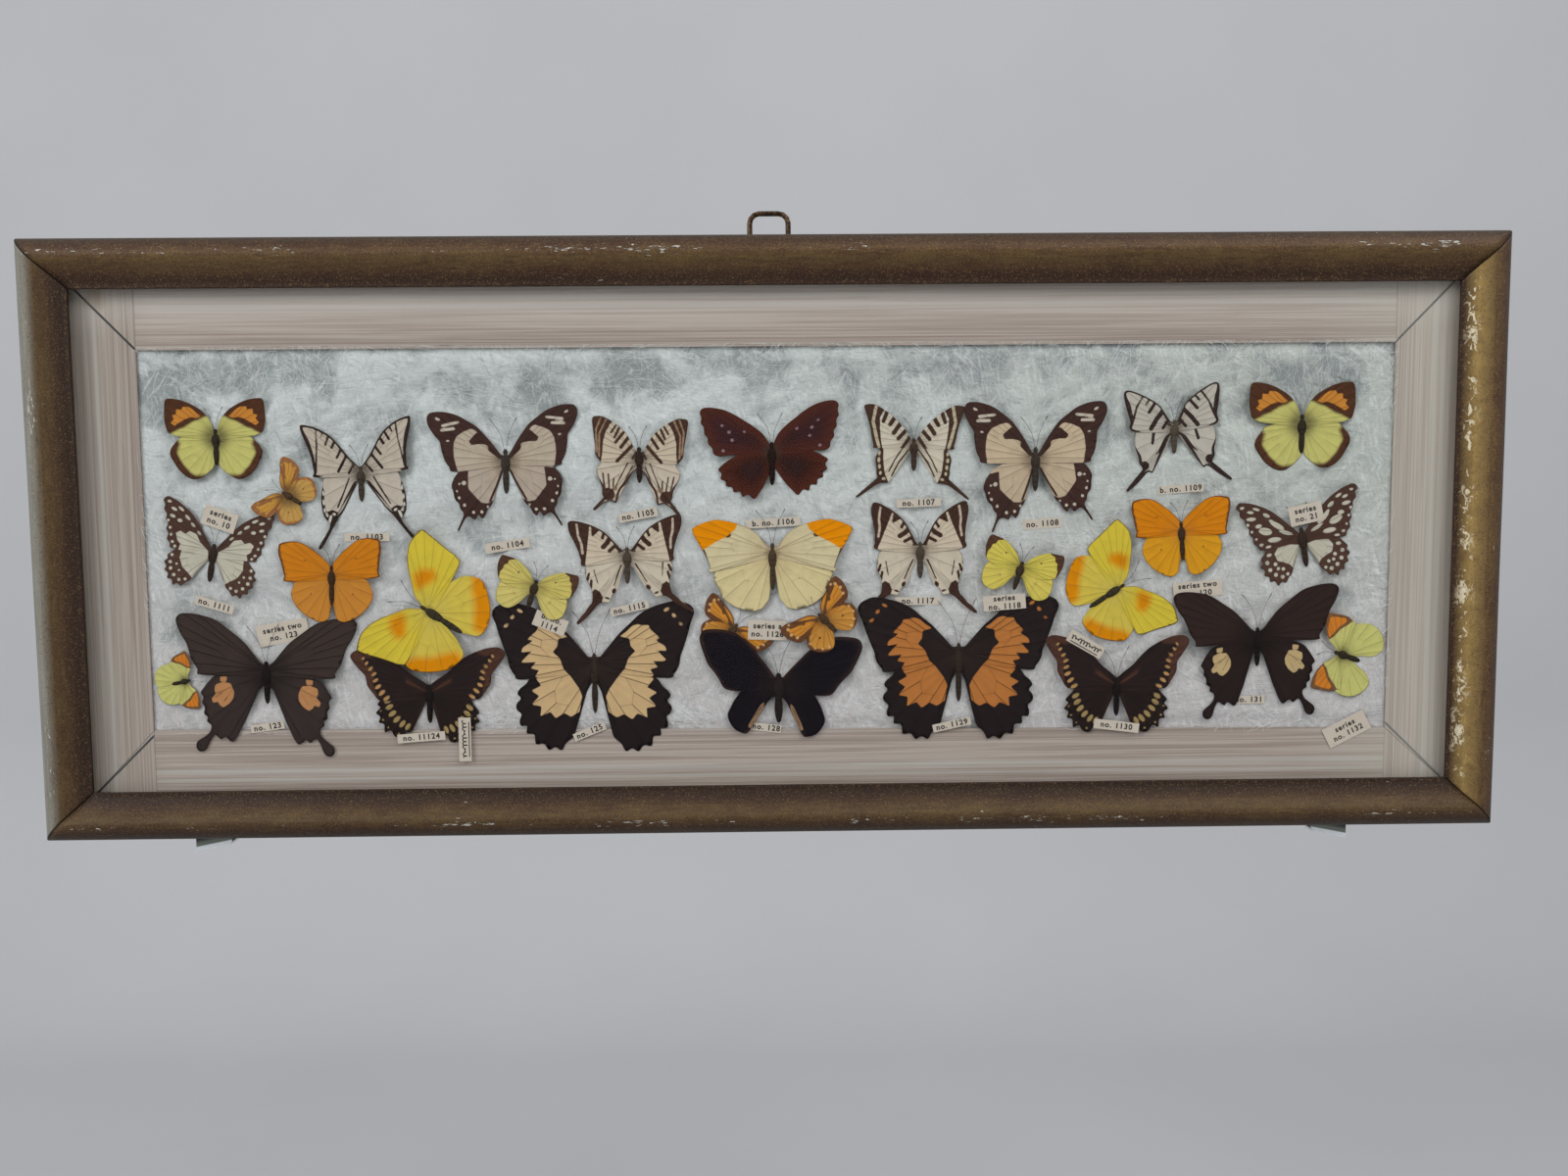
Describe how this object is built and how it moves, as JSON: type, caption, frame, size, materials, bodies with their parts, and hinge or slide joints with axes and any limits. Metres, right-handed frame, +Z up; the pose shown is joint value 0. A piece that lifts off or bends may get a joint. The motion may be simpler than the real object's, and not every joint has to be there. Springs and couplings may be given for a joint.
{
  "type": "insect collection drawer",
  "caption": "Wide glazed wall case with a dark bronzed moulding and a pale mat, holding rows of spread butterflies and small paper labels on cotton batting, with a wire ring to hang it by.",
  "frame": {"origin": "centre of the backboard's rear face, which lies against the wall", "axes": "+Z up the wall, +X to the right along the case's length as seen from the front, +Y into the wall; the glass faces -Y"},
  "size_m": [0.82, 0.0362, 0.3625],
  "materials": {
    "moulding": "bronzed gilt, worn",
    "mat_board": "pale printed oak grain",
    "glass": "clear",
    "cotton": "loose fibres",
    "backboard": "plain board",
    "antique_brass": "dark, rubbed",
    "zinc": "zinc plated",
    "label_paper": "matt",
    "wing_yellow": "matt scales",
    "wing_orange": "matt scales",
    "wing_cream": "matt scales",
    "wing_brown": "matt scales",
    "wing_black": "matt scales"
  },
  "bodies": {
    "case": {"backboard": "backboard", "butterfly_01_ixias": "wing_yellow", "butterfly_02_small_orange": "wing_orange", "butterfly_03_kite": "wing_cream", "butterfly_04_mocker": "wing_cream", "butterfly_05_zebra": "wing_cream", "butterfly_06_scalloped": "wing_brown", "butterfly_07_banded": "wing_cream", "butterfly_08_mocker": "wing_cream", "butterfly_09_striped": "wing_cream", "butterfly_10_ixias": "wing_yellow", "butterfly_11_spotted": "wing_brown", "butterfly_12_marigold": "wing_orange", "butterfly_13_patched": "wing_yellow", "butterfly_14_black_tip": "wing_yellow", "butterfly_15_swordtail": "wing_cream", "butterfly_16_orange_corner": "wing_cream", "butterfly_17_swordtail": "wing_cream", "butterfly_18_black_tip": "wing_yellow", "butterfly_19_patched": "wing_yellow", "butterfly_20_marigold": "wing_orange", "butterfly_21_spotted": "wing_brown", "butterfly_22_orange_tip": "wing_yellow", "butterfly_23_spangle": "wing_black", "butterfly_24_goldrim": "wing_black", "butterfly_25_divided_black": "wing_black", "butterfly_26_small_orange": "wing_orange", "butterfly_27_small_orange": "wing_orange", "butterfly_28_grey_vein": "wing_black", "butterfly_29_divided_orange": "wing_black", "butterfly_30_goldrim": "wing_black", "butterfly_31_spangle": "wing_black", "butterfly_32_orange_tip": "wing_yellow", "cotton_batting": "cotton", "frame_rail_bottom": "moulding", "frame_rail_left": "moulding", "frame_rail_right": "moulding", "frame_rail_top": "moulding", "glass_pane": "glass", "hanger_plate": "antique_brass", "label_01": "label_paper", "label_02": "label_paper", "label_03": "label_paper", "label_04": "label_paper", "label_05": "label_paper", "label_06": "label_paper", "label_07": "label_paper", "label_08": "label_paper", "label_09": "label_paper", "label_10": "label_paper", "label_11": "label_paper", "label_12": "label_paper", "label_13": "label_paper", "lower_clip_left": "zinc", "lower_clip_right": "zinc", "mat_bottom": "mat_board", "mat_left": "mat_board", "mat_right": "mat_board", "mat_top": "mat_board"},
    "ring": {"hanger_ring": "antique_brass"}
  },
  "joints": [
    {"name": "ring_swing", "type": "hinge", "parent": "case", "child": "ring", "pos_m": [0, 0.0033, 0.162], "axis": [-1, 0, 0], "range_deg": [0, 180]}
  ]
}
